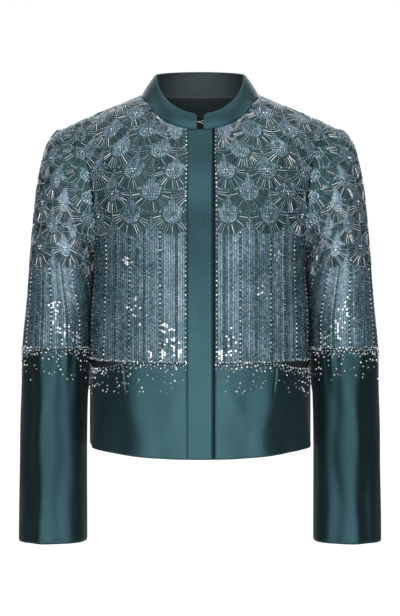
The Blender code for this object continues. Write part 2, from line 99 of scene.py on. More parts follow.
LEFT_FRONT_EDGE_X = 0.0210
UNDERLAP_X = (-0.0140, 0.0250)
POCKET_START_SHARE = 0.25
POCKET_SAG = 0.0100
POCKET_SLANT = 1.3
POCKET_POWER = 0.7
POCKET_FACING_LEVELS = (0.72, 1.20)
COLLAR_GAP = 0.0096
COLLAR_TOP_HALF_WIDTH = 0.0650
COLLAR_TOP_FRONT_DEPTH = 0.0620
COLLAR_TOP_BACK_DEPTH = 0.0430
COLLAR_TOP_FRONT_Z = -0.0345
COLLAR_TOP_SIDE_Z = 0.0310
COLLAR_TOP_BACK_Z = 0.0410
COLLAR_TOP_POWER = 1.12
COLLAR_BOW = 0.0012
COLLAR_CORNER_RADIUS = 0.0060

# Folds in the cloth: the angle or turn of a fold's crest in degrees and half its width, the heights where it
# starts and is full, its height in millimetres, and how far it leans, in degrees for each 100 mm down.
FRONT_FOLDS = {
    "pocket_hollow":  (52, 8, -0.372, -0.440, -2.6, -3),
    "side_roll":      (70, 8, -0.380, -0.450, 2.0, 0),
    "band_roll":      (34, 7, -0.400, -0.480, 1.6, -4),
    "band_hollow":    (21, 6, -0.395, -0.490, -1.6, 3),
    "lap_roll":       (11, 4, -0.300, -0.420, 0.8, 2),
    "bust_hollow":    (64, 9, -0.180, -0.270, -2.6, 7),
    "bust_roll":      (44, 8, -0.200, -0.300, 1.4, 7),
    "waist_hollow":   (33, 7, -0.240, -0.340, -1.4, -6),
}
FOLD_WANDER = 3.5
FOLD_WAVES = 46.0
PUCKER_HEIGHT = 0.0014
PUCKERS = 13
PLEAT_TOP, PLEAT_X, PLEAT_LEAN, PLEAT_HALF = -0.397, 0.1085, 0.10, 0.0014
BACK_FOLDS = {
    "blade_hollow_l": (125, 10, -0.110, -0.230, -3.6, 7),
    "blade_hollow_r": (233, 11, -0.130, -0.250, -3.2, -6),
    "blade_roll_l":   (143, 8, -0.200, -0.330, 2.2, 5),
    "blade_roll_r":   (218, 7, -0.230, -0.350, 2.0, -7),
    "spine_hollow":   (181, 10, -0.150, -0.320, -2.8, 0),
    "hem_roll_l":     (151, 7, -0.360, -0.460, 2.6, -3),
    "hem_hollow_l":   (165, 6, -0.380, -0.470, -2.2, 2),
    "hem_roll_r":     (204, 8, -0.350, -0.470, 2.5, 3),
    "hem_hollow_r":   (222, 7, -0.380, -0.480, -2.4, 0),
}
SLEEVE_FOLDS = {
    "front_roll":     (84, 14, -0.362, -0.430, 2.4, 0),
    "front_hollow":   (54, 13, -0.356, -0.440, -2.4, 3),
    "outer_roll":     (20, 11, -0.390, -0.490, 1.2, 0),
    "inner_hollow":   (120, 13, -0.366, -0.450, -2.2, -3),
    "inner_roll":     (150, 10, -0.380, -0.460, 1.2, 0),
    "back_hollow":    (-50, 12, -0.240, -0.400, -3.0, 4),
    "back_roll":      (-82, 13, -0.270, -0.420, 2.8, -3),
    "back_edge":      (-122, 13, -0.320, -0.450, -2.4, 0),
    "elbow_hollow":   (-16, 10, -0.300, -0.370, -1.0, 5),
}
# Below the seam the sleeve's satin rests against the body for 45 mm: a swelling on either side of its inner
# edge.
for inner_edge in (180, -180):
    SLEEVE_FOLDS.update({
        f"resting_{inner_edge}": (inner_edge, 30, -0.350, -0.374, 1.05, 0),
        f"resting_more_{inner_edge}": (inner_edge, 30, -0.374, -0.425, 0.80, 0),
        f"leaving_{inner_edge}": (inner_edge, 30, -0.420, -0.440, -1.85, 0),
    })

QUARTER = math.pi / 2
NECK_ANGLE = math.asin((NECK_HALF_WIDTH / SHOULDER_TIP_X) ** (1 / SECTION_POWER))
ANGLE_STEP = math.radians(0.5)
LEVEL_STEP = 0.02


def together(*values):
    """Arrays of floats, spread to one shape."""
    return np.broadcast_arrays(*(np.asarray(value, float) for value in values))


def unit(vectors):
    return vectors / np.maximum(np.linalg.norm(vectors, axis=-1, keepdims=True), 1e-12)


def signed_power(values, power):
    return np.sign(values) * np.abs(values) ** power


def smooth_step(values):
    t = np.clip(values, 0.0, 1.0)
    return t * t * (3 - 2 * t)


def crest(values, middle, width):
    """A rounded ridge: one at the middle, falling off as the bell curve of this half width."""
    return np.exp(-(((values - middle) / width) ** 2))


def stack(x, y, z):
    return np.stack(np.broadcast_arrays(x, y, z), axis=-1)


def through(rings, level, end_direction=None):
    """The point at a level on the smooth curve that joins like points of the rings: cubic pieces whose end
    directions are the mean of the two spans beside them, weighted by length."""
    spans = rings[1:] - rings[:-1]
    lengths = np.linalg.norm(spans, axis=-1, keepdims=True)
    slopes = spans / lengths
    inner = (slopes[:-1] * lengths[1:] + slopes[1:] * lengths[:-1]) / (lengths[1:] + lengths[:-1])
    last = slopes[-1] if end_direction is None else end_direction
    tangents = np.concatenate([slopes[:1], inner, last[None]])
    start = np.clip(np.floor(level).astype(int), 0, len(rings) - 2)
    t = (level - start)[..., None]

    def pick(values, index):
        return np.take_along_axis(values, index[None, ..., None], axis=0)[0]

    length = pick(lengths, start)
    return (
        pick(rings, start) * (2 * t**3 - 3 * t**2 + 1)
        + pick(tangents, start) * length * (t**3 - 2 * t**2 + t)
        + pick(rings, start + 1) * (3 * t**2 - 2 * t**3)
        + pick(tangents, start + 1) * length * (t**3 - t**2)
    )


def body_ring(angle, section):
    """A rounded section: half width times sine to a power across, depth times cosine to it along."""
    z_front, z_side, z_back, half_width, front_depth, back_depth = section
    in_front = np.cos(angle) >= 0
    across = signed_power(np.sin(angle), SECTION_POWER)
    along = signed_power(np.cos(angle), SECTION_POWER)
    depth = np.where(in_front, front_depth, back_depth)
    middle_z = np.where(in_front, z_front, z_back)
    return stack(half_width * across, -depth * along, z_side + (middle_z - z_side) * along**2)


def neck_turn(angle):
    return np.clip(np.arcsin(np.abs(np.sin(angle))) / NECK_ANGLE, 0.0, 1.0) * QUARTER


def shoulder_share(angle):
    fold = np.arcsin(np.abs(np.sin(angle)))
    return np.clip((fold - NECK_ANGLE) / (QUARTER - NECK_ANGLE), 0.0, 1.0)


def top_ring(angle):
    """The neckline, a dipped oval, and beyond its corner the straight shoulder seam."""
    in_front = np.cos(angle) >= 0
    turn = neck_turn(angle)
    on_neck = turn < QUARTER - 1e-9
    across = np.abs(signed_power(np.sin(angle), SECTION_POWER))
    x = np.where(on_neck, NECK_HALF_WIDTH * np.sin(turn), SHOULDER_TIP_X * across)
    y = np.where(in_front, -NECK_FRONT_DEPTH, NECK_BACK_DEPTH) * np.cos(turn)
    drop = np.where(in_front, -NECK_FRONT_DROP, NECK_BACK_RISE) * np.cos(turn) ** NECKLINE_POWER
    z = np.where(on_neck, drop, -SHOULDER_SLOPE * (x - NECK_HALF_WIDTH))
    return stack(np.sign(np.sin(angle)) * x, np.where(on_neck, y, 0.0), z)


def yoke_ring(angle):
    """The level where the cloth turns over the shoulder, sloping away from the collar."""
    in_front = (np.cos(angle) >= 0)[..., None]
    y, z, middle_y, middle_z = np.moveaxis(np.where(in_front, YOKE["front"], YOKE["back"]), -1, 0)
    x = YOKE_HALF_WIDTH * np.abs(signed_power(np.sin(angle), SECTION_POWER))
    to_middle = np.cos(neck_turn(angle)) ** 2
    out = shoulder_share(angle)
    beyond_neck = YOKE_SOFTNESS * np.log1p(np.exp((x - NECK_HALF_WIDTH) / YOKE_SOFTNESS))
    sloping = SHOULDER_SLOPE * beyond_neck + YOKE_TIP_DROP * out**2
    y = y * np.sqrt(1 - out**3) + middle_y * to_middle
    return stack(np.sign(np.sin(angle)) * x, y, z + middle_z * to_middle - sloping)


def torso(angle, level):
    """The body's outer face. The angle turns from the centre front past the left side to the back."""
    angle, level = together(angle, level)
    rings = [body_ring(angle, section) for section in BODY_SECTIONS.values()]
    rings += [yoke_ring(angle), top_ring(angle)]
    over = unit(yoke_ring(math.pi - angle) - yoke_ring(angle) + 1e-12)
    at_neck, at_tip = neck_turn(angle) / QUARTER, shoulder_share(angle) / SHOULDER_CORNER_SHARE
    weight = (smooth_step(at_neck) + smooth_step(at_tip))[..., None] / 2
    arrival = unit((1 - weight) * unit(rings[-1] - rings[-2]) + weight * over)
    return through(np.array(rings), level, arrival)


def torso_normal(angle, level):
    """The way out of the cloth, read a little inside the side seam, the tip and the neck's corner."""
    angle, level = together(angle, level)
    fold = np.arcsin(np.abs(np.sin(angle)))
    at_top = np.clip((level - UNDERARM) / (TOP - UNDERARM), 0.0, 1.0)
    inside = np.minimum(fold, QUARTER - (2 + 8 * at_top**2) * ANGLE_STEP)
    at_corner = (np.abs(inside - NECK_ANGLE) < ANGLE_STEP) & (level > TOP - LEVEL_STEP)
    inside = np.where(at_corner, NECK_ANGLE + 2 * ANGLE_STEP, inside)
    turning = np.where(np.cos(angle) >= -1e-9, 1.0, -1.0) * np.where(np.sin(angle) >= 0, 1.0, -1.0)
    angle = angle + turning * (inside - fold)
    near = np.clip(level, LEVEL_STEP, TOP - LEVEL_STEP)
    around = torso(angle + ANGLE_STEP, near) - torso(angle - ANGLE_STEP, near)
    upward = torso(angle, near + LEVEL_STEP) - torso(angle, near - LEVEL_STEP)
    normal = np.cross(around, upward)
    on_shoulder_seam = (level > TOP - LEVEL_STEP) & (inside > NECK_ANGLE)
    normal[..., 1] = np.where(on_shoulder_seam, 0.0, normal[..., 1])
    return unit(normal)


def armhole_level(turn):
    return UNDERARM + (TOP - UNDERARM) * (1 + np.cos(turn)) / 2


def armhole_angle(level, back=False):
    share = np.clip((level - UNDERARM) / (TOP - UNDERARM), 0.0, 1.0)
    reach = (2 * np.sqrt(share * (1 - share))) ** ARMHOLE_POWER
    return QUARTER + (BACK_ARMHOLE_REACH if back else -FRONT_ARMHOLE_REACH) * reach


def angle_at_x(x, level):
    """The angle, near the centre front, of points this far from the middle, by halving the interval."""
    low, high = np.zeros_like(level), np.full_like(level, QUARTER / 2)
    for _ in range(30):
        middle = (low + high) / 2
        short = torso(middle, level)[..., 0] < abs(x)
        low, high = np.where(short, middle, low), np.where(short, high, middle)
    return math.copysign(1, x) * (low + high) / 2


def side_half_width(z):
    levels = np.linspace(HEM, UNDERARM, 40)
    side = torso(np.full_like(levels, QUARTER), levels)
    return np.interp(z, side[:, 2], side[:, 0])


def sleeve_ring(turn, section):
    """A slanting rounded section between the outer edge and the edge beside the body."""
    outer_x, outer_z, inner_z, clearance, half_depth, middle_y, power = section
    inner_x = side_half_width(inner_z) + clearance
    out, forward = signed_power(np.cos(turn), power), signed_power(np.sin(turn), power)
    x = (outer_x + inner_x) / 2 + out * (outer_x - inner_x) / 2
    z = (outer_z + inner_z) / 2 + out * (outer_z - inner_z) / 2
    return stack(x, middle_y - half_depth * forward, z)


def sleeve(turn, ring):
    """The left sleeve's outer face, from the armhole at ring 0 to the hem. Turn 0 is its outer edge."""
    turn, ring = together(turn, ring)
    level = armhole_level(turn)
    armhole = torso(np.where(np.sin(turn) >= 0, armhole_angle(level), armhole_angle(level, back=True)), level)
    rings = [armhole] + [sleeve_ring(turn, section) for section in SLEEVE_SECTIONS.values()]
    return through(np.array(rings), ring)


def collar(turn, height):
    """The stand collar's outer face, straight from the neckline to its top edge, a little bowed."""
    turn, height = together(turn, height)
    in_front = np.cos(turn) >= 0
    fold = np.arcsin(np.abs(np.sin(turn))) / QUARTER * NECK_ANGLE
    base = top_ring(np.sign(np.sin(turn)) * np.where(in_front, fold, math.pi - fold))
    lean = 1 - COLLAR_TOP_HALF_WIDTH / NECK_HALF_WIDTH
    front_shift = np.where(in_front, COLLAR_GAP / 2 * lean * np.cos(turn) ** 2, 0.0)
    x = COLLAR_TOP_HALF_WIDTH * np.sin(turn) + np.sign(np.sin(turn)) * front_shift
    y = -np.where(in_front, COLLAR_TOP_FRONT_DEPTH, COLLAR_TOP_BACK_DEPTH) * np.cos(turn)
    middle_z = np.where(in_front, COLLAR_TOP_FRONT_Z, COLLAR_TOP_BACK_Z)
    z = COLLAR_TOP_SIDE_Z + (middle_z - COLLAR_TOP_SIDE_Z) * np.abs(np.cos(turn)) ** COLLAR_TOP_POWER
    to_end = np.clip(np.abs(x) - COLLAR_GAP / 2, 0.0, COLLAR_CORNER_RADIUS)
    rounding = COLLAR_CORNER_RADIUS - np.sqrt(COLLAR_CORNER_RADIUS**2 - (COLLAR_CORNER_RADIUS - to_end) ** 2)
    top = stack(x, y, z)
    length = np.linalg.norm(top - base, axis=-1, keepdims=True)
    share = height[..., None] * (1 - np.where(in_front, rounding, 0.0)[..., None] / length)
    bow = COLLAR_BOW * 4 * share * (1 - share)
    return base + (top - base) * share + bow * unit(stack(x, y, 0 * x))


# Folds. The beaded cloth is heavy and folds less than the satin.
def fold_heights(folds, degrees, z):
    """The sum of the folds: each a rounded ridge or hollow that grows down from where it starts, leans, and
    wanders by a few degrees to either side on its way."""
    total = np.zeros(np.broadcast(degrees, z).shape)
    for middle, width, start_z, full_z, height, lean in folds.values():
        grown = smooth_step((start_z - z) / (start_z - full_z))
        line = middle + lean * (start_z - z) * 10 + FOLD_WANDER * np.sin(FOLD_WAVES * z + middle)
        total += height / 1000 * grown * crest(degrees, line, width)
    return total


def body_face(angle, level, side=1, folds=FRONT_FOLDS):
    """The torso with its folds. The right side's are the left's, shifted a little and softer."""
    points = torso(angle, level)
    degrees = np.degrees(np.broadcast_to(angle, points.shape[:-1]))
    share, turned, lower = (1.0, 0, 0.0) if side > 0 else (0.8, 3, 0.012)
    height = share * fold_heights(folds, degrees + turned, points[..., 2] + lower)
    return points + height[..., None] * torso_normal(angle, level)


def back_face(angle, level):
    return body_face(angle, level, folds=BACK_FOLDS)


def sleeve_face(turn, ring, side=1):
    """The sleeve with its folds, and the small puckers that the satin takes at the beaded seam."""
    points = sleeve(turn, ring)
    around = sleeve(turn + ANGLE_STEP, ring) - sleeve(turn - ANGLE_STEP, ring)
    near = np.clip(ring, LEVEL_STEP, SLEEVE_HEM_RING - LEVEL_STEP)
    normals = unit(np.cross(around, sleeve(turn, near + LEVEL_STEP) - sleeve(turn, near - LEVEL_STEP)))
    degrees = np.degrees(np.broadcast_to(turn, points.shape[:-1]))
    degrees = (degrees + 180) % 360 - 180
    shift = 0 if side > 0 else 7
    height = fold_heights(SLEEVE_FOLDS, degrees + shift, points[..., 2])
    below = np.clip(np.broadcast_to(ring, degrees.shape) - SLEEVE_SEAM_RING, 0.0, None)
    puckers = np.sin(np.radians(degrees) * PUCKERS + 2 * np.sin(np.radians(degrees) * 3 + shift))
    height += PUCKER_HEIGHT * puckers * smooth_step(below / 0.08) * np.exp(-below / 0.30)
    return points + height[..., None] * normals


# Cloth shells.
EDGE_STEPS = np.array([0.0, 0.0003, 0.0007, 0.0012, 0.0019, 0.0029])
EDGE_ROLL_WIDTH = 0.0013


def edged(count, length):
    """Shares of a length from nought to one: close steps at either end, and even ones between them."""
    ends = EDGE_STEPS / length
    return np.concatenate([ends, np.linspace(ends[-1], 1 - ends[-1], count)[1:-1], 1 - ends[::-1]])


def travelled(points, axis):
    """How far each point of a grid lies along its line, in metres."""
    steps = np.linalg.norm(np.diff(points, axis=axis), axis=-1)
    start = np.zeros_like(np.take(steps, [0], axis=axis))
    return np.concatenate([start, np.cumsum(steps, axis=axis)], axis=axis)


def grid_normals(points, tube):
    """The cross product of the grid's two directions, by central differences, turned outwards."""
    if tube:
        around = np.roll(points, -1, axis=1) - np.roll(points, 1, axis=1)
    else:
        around = np.gradient(points, axis=1)
    return unit(np.cross(around, np.gradient(points, axis=0)))


def added(name, data):
    """A new object in the scene, at the origin."""
    made = bpy.data.objects.new(name, data)
    bpy.context.scene.collection.objects.link(made)
    return made


def cloth_shell(name, points, thickness, tube=False, outward=1, roll=0.0009, below=0.0, normals=None):
    """A thin wall under a grid of points, with soft edges that roll in at the seams.

    The roll is a bell curve of the distance from the nearest edge. below sinks the whole sheet. A sheet whose
    normals are given lies under the collar, and its top edge doesn't roll.
    """
    u, v = travelled(points, 1), travelled(points, 0)
    to_edge = np.minimum(v, v[-1:] - v) if normals is None else v
    if normals is None:
        normals = outward * grid_normals(points, tube)
    if not tube:
        to_edge = np.minimum(to_edge, np.minimum(u, u[:, -1:] - u))
    points = points - (below + roll * crest(to_edge, 0, EDGE_ROLL_WIDTH))[..., None] * normals
    half = OPEN_SEAM / 2
    points[0] += half * unit(points[1] - points[0])
    points[-1] += half * unit(points[-2] - points[-1])
    if not tube:
        points[:, 0] += half * unit(points[:, 1] - points[:, 0])
        points[:, -1] += half * unit(points[:, -2] - points[:, -1])
    rows, columns = points.shape[:2]
    count = rows * columns
    index = np.arange(count).reshape(rows, columns)
    if tube:
        index = np.concatenate([index, index[:, :1]], axis=1)
    quads = np.stack([index[:-1, :-1], index[:-1, 1:], index[1:, 1:], index[1:, :-1]], axis=-1).reshape(-1, 4)
    if outward < 0:
        quads = quads[:, ::-1]
    if tube:
        loops = [index[0], index[-1][::-1]]
    else:
        loops = [np.concatenate([index[0], index[1:, -1], index[-1, -2::-1], index[-2::-1, 0]])]
    rims = [np.stack([loop[1:], loop[:-1], loop[:-1] + count, loop[1:] + count], axis=-1) for loop in loops]
    rims = np.concatenate(rims)
    if outward < 0:
        rims = rims[:, ::-1]
    faces = np.concatenate([quads, quads[:, ::-1] + count, rims])
    both = np.concatenate([points.reshape(-1, 3), (points - thickness * normals).reshape(-1, 3)])
    mesh = bpy.data.meshes.new(name)
    mesh.from_pydata(both.tolist(), [], faces.tolist())
    mesh.polygons.foreach_set("material_index", np.repeat([0, 1, 2], [len(quads), len(quads), len(rims)]))
    mesh.shade_smooth()
    mesh.set_sharp_from_angle(angle=math.radians(50))
    cloth = mesh.uv_layers.new(name="cloth")
    flat = np.tile(np.stack([u, v], axis=-1).reshape(-1, 2), (2, 1))
    corners = np.empty(len(mesh.loops), int)
    mesh.loops.foreach_get("vertex_index", corners)
    cloth.data.foreach_set("uv", flat[corners].astype(np.float32).ravel())
    return added(name, mesh)


def mirrored(points, side):
    return points * np.array([side, 1.0, 1.0])


# Charts of the cloth. A chart holds the cloth's own points at every 2 mm round and up.
CHART_STEP = 0.002


def chart(face, around, along, zero_around, zero_along, room):
    """Lines of equal distance round the cloth from zero_around, each measured upwards from zero_along."""
    u = travelled(face(around[None, :], along[:, None]), 1)
    u -= np.array([np.interp(zero_around, around, row) for row in u])[:, None]
    u_grid = np.arange(math.floor(u[:, 0].min() / CHART_STEP), u[:, -1].max() / CHART_STEP) * CHART_STEP
    lines = np.array([np.interp(u_grid, row, around) for row in u])
    known = ((u_grid >= u[:, :1]) & (u_grid <= u[:, -1:])).astype(float)
    v = travelled(face(lines, along[:, None]), 0)
    v -= np.array([np.interp(zero_along, along, column) for column in v.T])
    v_grid = np.arange(math.floor(v[0].min() / CHART_STEP), v[-1].max() / CHART_STEP) * CHART_STEP

    def tabled(values, **beyond):
        columns = zip(v.T, np.broadcast_to(values, v.shape).T)
        return np.stack([np.interp(v_grid, heights, column, **beyond) for heights, column in columns], axis=1)

    table_around, table_along = tabled(lines), tabled(along[:, None])
    table_known = tabled(known, left=0, right=0)
    points = face(table_around, table_along)
    space = np.where(table_known > 0.99, room(table_around, table_along, points), -1.0)
    return {"u0": u_grid[0], "v0": v_grid[0], "points": points, "room": space}


def carried(cloth, u, v):
    """The places on the cloth at distances u and v, the ways across, up and out, and the room to an edge."""
    points, room = cloth["points"], cloth["room"]
    i = np.clip((v - cloth["v0"]) / CHART_STEP, 1, len(points) - 2.001)
    j = np.clip((u - cloth["u0"]) / CHART_STEP, 1, points.shape[1] - 2.001)
    i0, j0 = i.astype(int), j.astype(int)
    s, t = (i - i0)[:, None], (j - j0)[:, None]

    def blended(table):
        table = table if table.ndim == 3 else table[..., None]
        return (
            table[i0, j0] * (1 - s) * (1 - t)
            + table[i0 + 1, j0] * s * (1 - t)
            + table[i0, j0 + 1] * (1 - s) * t
            + table[i0 + 1, j0 + 1] * s * t
        )

    across = unit(points[i0, j0 + 1] - points[i0, j0 - 1] + 1e-12)
    up = points[i0 + 1, j0] - points[i0 - 1, j0] + 1e-12
    up = unit(up - across * (up * across).sum(axis=1, keepdims=True))
    outside = (v < cloth["v0"]) | (u < cloth["u0"]) | (i > len(points) - 2.01) | (j > points.shape[1] - 2.01)
    space = np.where(outside, -1.0, blended(room)[:, 0])
    return blended(points), across, up, np.cross(across, up), space


# Small shapes, each in a unit frame: x across, y along and z out of the cloth.
TURNS = np.linspace(0, 2 * math.pi, 7)[:-1]
HEXAGON = np.stack([np.cos(TURNS), np.sin(TURNS), 0 * TURNS], axis=1)
SHAPES = {
    "sequin": (HEXAGON, [list(range(6))]),
    "crystal": (
        np.concatenate([HEXAGON, HEXAGON * 0.55 + np.array([0, 0, 0.75])]),
        [[k, (k + 1) % 6, 6 + (k + 1) % 6, 6 + k] for k in range(6)] + [list(range(6, 12))],
    ),
    "seed": (
        np.array([[1, 0, 0], [0, 1, 0], [-1, 0, 0], [0, -1, 0], [0, 0, 1], [0, 0, -1.0]]),
        [[0, 1, 4], [1, 2, 4], [2, 3, 4], [3, 0, 4], [1, 0, 5], [2, 1, 5], [3, 2, 5], [0, 3, 5]],
    ),
    "bugle": (
        np.array([[x, y, z] for y in (-0.5, 0.5) for x, z in ((1, 0), (0, 1), (-1, 0), (0, -1))], float),
        [[k, 4 + k, 4 + (k + 1) % 4, (k + 1) % 4] for k in range(4)] + [[0, 1, 2, 3], [7, 6, 5, 4]],
    ),
}
BEAD_KINDS = list(SHAPES)


class Beadwork:
    """Collects the small shapes of one panel, then joins them into one mesh."""

    def __init__(self, cloth, seed):
        self.cloth, self.random = cloth, np.random.default_rng(seed)
        self.points, self.faces, self.kinds, self.tones, self.count = [], [], [], [], 0

    def sew(self, kind, u, v, size, lift=0.0, heading=0.0, tilt=0.0, roll=0.0, lean=0.0, tone_and_glint=None,
            margin=0.001):
        """Places one shape at each u and v: turned by heading in the cloth, leaning down and tilted at
        random."""
        u, v, heading = (values.ravel() for values in together(u, v, heading))
        places, across, up, out, room = carried(self.cloth, u, v)
        kept = room > margin
        tone_and_glint = self.random.random(len(u)) if tone_and_glint is None else np.broadcast_to(tone_and_glint, u.shape)
        size = np.broadcast_to(np.asarray(size, float), (len(u), 3))
        places, across, up, out = places[kept], across[kept], up[kept], out[kept]
        tone_and_glint, size, heading = tone_and_glint[kept], size[kept], heading[kept][:, None]
        if not len(places):
            return
        x_way = np.cos(heading) * across + np.sin(heading) * up
        y_way = np.cos(heading) * up - np.sin(heading) * across
        tips = self.random.normal(0.0, 1.0, (2, len(places), 1))
        z_way = unit(out + tips[0] * (tilt + roll) * x_way + (tips[1] * tilt - lean) * y_way)
        x_way = unit(x_way - z_way * (x_way * z_way).sum(axis=1, keepdims=True))
        y_way = np.cross(z_way, x_way)
        corners, faces = SHAPES[kind]
        local = corners[None] * size[:, None, :]
        made = (
            (places + lift * out)[:, None]
            + local[..., :1] * x_way[:, None]
            + local[..., 1:2] * y_way[:, None]
            + local[..., 2:] * z_way[:, None]
        )
        starts = self.count + len(corners) * np.arange(len(places))
        for face in faces:
            self.faces.append((starts[:, None] + np.array(face)).tolist())
            self.kinds.append(np.full(len(places), BEAD_KINDS.index(kind)))
            self.tones.append(tone_and_glint)
        self.points.append(made.reshape(-1, 3))
        self.count += len(corners) * len(places)

    def join(self, name, side):
        mesh = bpy.data.meshes.new(name)
        points = mirrored(np.concatenate(self.points), side)
        faces = [face for group in self.faces for face in group]
        if side < 0:
            faces = [face[::-1] for face in faces]
        mesh.from_pydata(points.tolist(), [], faces)
        mesh.polygons.foreach_set("material_index", np.concatenate(self.kinds).astype(np.int32))
        tone_and_glint = mesh.attributes.new("tone_and_glint", "FLOAT", "FACE")
        tone_and_glint.data.foreach_set("value", np.concatenate(self.tones).astype(np.float32))
        for kind in BEAD_KINDS:
            mesh.materials.append(FINISHES[kind])
        made = added(name, mesh)
        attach(made, "root")


# The beadwork's layout, in metres on the cloth.
ROW_PITCH = 0.0033
SEQUIN_STEP = 0.0029
SEQUIN_RADIUS = 0.00158
LINE_EVERY = 7
LINE_SHIFT = 3
FAN_RADIUS = 0.0300
FAN_RISE = 0.0320
TICK_INNER = 0.0160
TICK_OUTER = 0.0285
TICK_SPACING = 0.0040
TICK_RADIUS = 0.00052
SEQUIN_LIMIT = 0.0135
# The fans start behind the placket's edge, so that it cuts across them.
FAN_START = 0.020
BORDER_LINES = ((0.0024, 0.0044), (-0.0016, 0.0050), (-0.0052, 0.0072))
BORDER_CLEARANCE = 0.0034
# The tone of a sequin: the mean, how far it varies by row, by patch and by chance, and the top it may reach
# at random; only the painted glints go above it, to one.
MEAN_TONE, ROW_TONE, PATCH_TONE, CHANCE_TONE, TOP_TONE = 0.42, 0.13, 0.17, 0.07, 0.9
LAYOUTS = {
    #          foot   rows  middle            border_reach  border_crowd
    "front":  (0.180, 7,    FAN_RADIUS * 1.3, 0.034,        470),
    "sleeve": (0.118, 7,    0.0,              0.038,        480),
    "back":   (0.180, 8,    0.0,              0.040,        560),
}
# Painted glints: clusters where sequins are coloured near white, as if flat sequins faced the light, near the
# seam, on the chest and on the sleeve: u, v, spread and share.
GLINTS = {
    "right": ((0.033, 0.017, 0.007, 0.95), (0.052, 0.014, 0.0035, 0.9), (0.070, 0.012, 0.0035, 0.8),
              (0.048, 0.042, 0.014, 0.25), (0.106, 0.145, 0.006, 0.7), (0.088, 0.075, 0.016, 0.08)),
    "left":  ((0.028, 0.012, 0.006, 0.8), (0.045, 0.030, 0.012, 0.2), (0.085, 0.100, 0.014, 0.12),
              (0.115, 0.150, 0.006, 0.6)),
    "back":  ((0.070, 0.030, 0.012, 0.40), (0.035, 0.120, 0.010, 0.35), (0.120, 0.090, 0.012, 0.25)),
    "sleeve": ((-0.102, 0.026, 0.010, 0.6), (-0.088, 0.055, 0.011, 0.3), (-0.122, 0.018, 0.007, 0.6),
               (-0.020, 0.050, 0.014, 0.15), (0.090, 0.050, 0.014, 0.25)),
}


def fan_cover(u, v, rows, foot, middle):
    """For each place, the highest row of fans that covers it, with its height above that fan's centre. Rows
    are staggered by half a fan, like fish scales."""
    owner, above = np.full(u.shape, -1), np.zeros(u.shape)
    for row in range(rows):
        centre_v = foot + FAN_RADIUS + row * FAN_RISE
        shift = middle + (FAN_RADIUS if row % 2 else 0.0)
        off = (u - shift + FAN_RADIUS) % (2 * FAN_RADIUS) - FAN_RADIUS
        covered = np.hypot(off, v - centre_v) < FAN_RADIUS
        owner, above = np.where(covered, row, owner), np.where(covered, v - centre_v, above)
    return owner, above


def sew_rows(work, u_range, foot, rows, middle, glints):
    """Vertical rows of overlapping sequins, with every seventh row a line of crystals or of seed beads."""
    columns = np.arange(math.ceil(u_range[0] / ROW_PITCH), u_range[1] / ROW_PITCH)
    top = foot + rows * FAN_RISE + 2 * FAN_RADIUS
    steps = np.arange(0.0024, top, SEQUIN_STEP)
    column, v = (a.ravel() for a in np.meshgrid(columns, steps))
    u = column * ROW_PITCH
    v = v + (column % 2) * SEQUIN_STEP / 2
    owner, above = fan_cover(u, v, rows, foot, middle)
    in_line = column % LINE_EVERY == LINE_SHIFT
    plain = (owner < 0) & (v < foot + FAN_RADIUS)
    upper = (owner >= 0) & (above > 0.0015) | (owner < 0) & (v >= foot + FAN_RADIUS)
    kept = (plain & ~in_line) | upper
    u_kept, v_kept = u[kept], v[kept]
    wave = np.sin(u_kept * 61 + 3 * np.sin(v_kept * 23)) * np.sin(v_kept * 47 + u_kept * 19)
    by_row = work.random.normal(0, ROW_TONE, len(columns))[(column[kept] - columns[0]).astype(int)]
    tone_and_glint = MEAN_TONE + by_row + PATCH_TONE * wave + work.random.normal(0, CHANCE_TONE, len(u_kept))
    tone_and_glint = np.clip(tone_and_glint, 0, TOP_TONE)
    # Painted glints: some sequins in each cluster are set to one, which colours them near white.
    for glint_u, glint_v, spread, share in glints:
        near = np.exp(-(((u_kept - glint_u) ** 2 + ((v_kept - glint_v) * 0.7) ** 2) / spread**2) ** 2)
        tone_and_glint = np.where(work.random.random(len(tone_and_glint)) < share * near, 1.0, tone_and_glint)
    work.sew("sequin", u_kept + work.random.normal(0, 0.00012, len(u_kept)), v_kept, (SEQUIN_RADIUS,) * 3,
             lift=0.0007, tilt=0.13, lean=0.10, tone_and_glint=tone_and_glint)

    lines = columns[columns % LINE_EVERY == LINE_SHIFT]
    for spacing, chosen, kind, size in (
        (0.0062, lines[lines % (2 * LINE_EVERY) == LINE_SHIFT], "crystal", (0.00168, 0.00168, 0.00130)),
        (0.0041, lines[lines % (2 * LINE_EVERY) != LINE_SHIFT], "seed", (0.00105, 0.00105, 0.00105)),
    ):
        steps = np.arange(0.004, foot + FAN_RADIUS, spacing)
        u, v = (a.ravel() for a in np.meshgrid(chosen * ROW_PITCH, steps))
        plain = fan_cover(u, v, rows, foot, middle)[0] < 0
        work.sew(kind, u[plain], v[plain], size, lift=0.0004, tilt=0.05)


